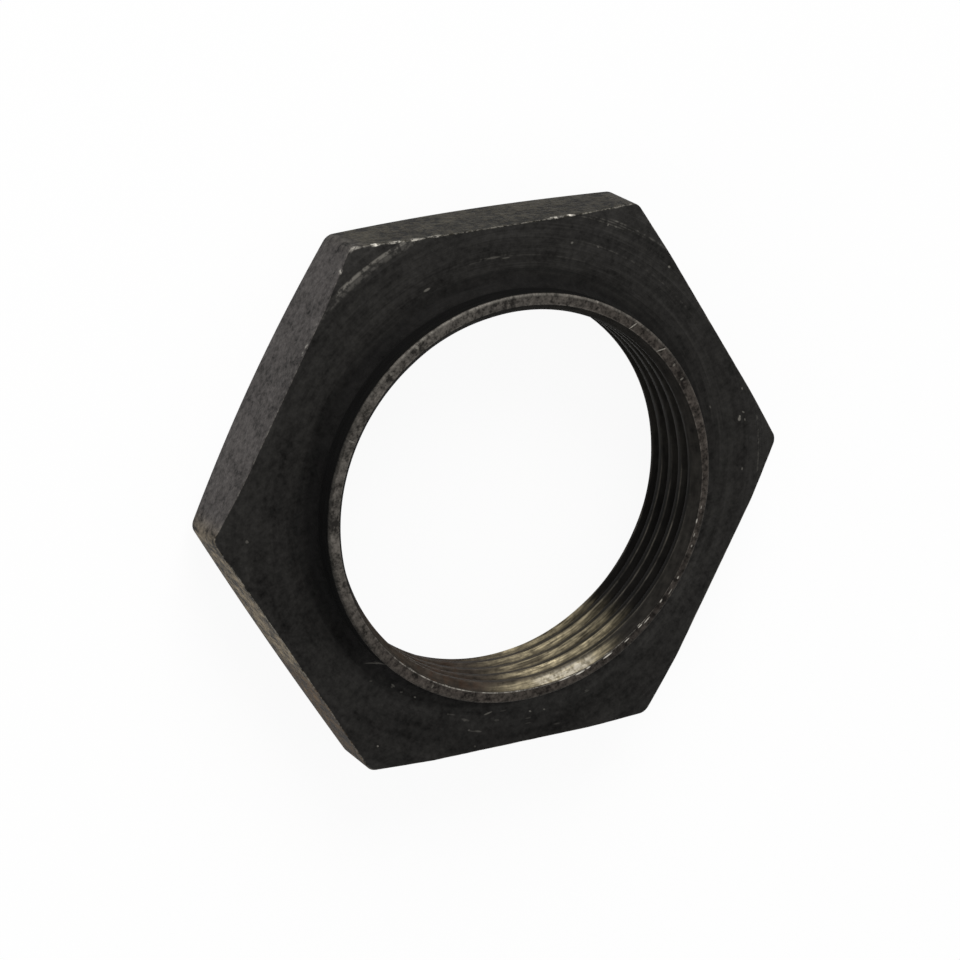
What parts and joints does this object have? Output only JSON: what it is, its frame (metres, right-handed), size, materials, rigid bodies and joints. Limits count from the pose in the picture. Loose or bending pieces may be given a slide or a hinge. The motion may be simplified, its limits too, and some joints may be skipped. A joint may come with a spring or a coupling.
{
  "type": "lock nut",
  "caption": "Thin hexagonal lock nut with a fine threaded bore and a thin round collar that is staked into the groove of a shaft.",
  "frame": {"origin": "centre of the seating face, on the thread's axis", "axes": "+Z along the thread's axis, from the seating face towards the collar; +X square to two of the spanner flats; +Y through two corners"},
  "size_m": [0.0404, 0.0464, 0.0086],
  "materials": {
    "blackened_steel": "black oxide, worn bright along the edges"
  },
  "bodies": {
    "root": {"lock_nut": "blackened_steel"}
  },
  "joints": []
}
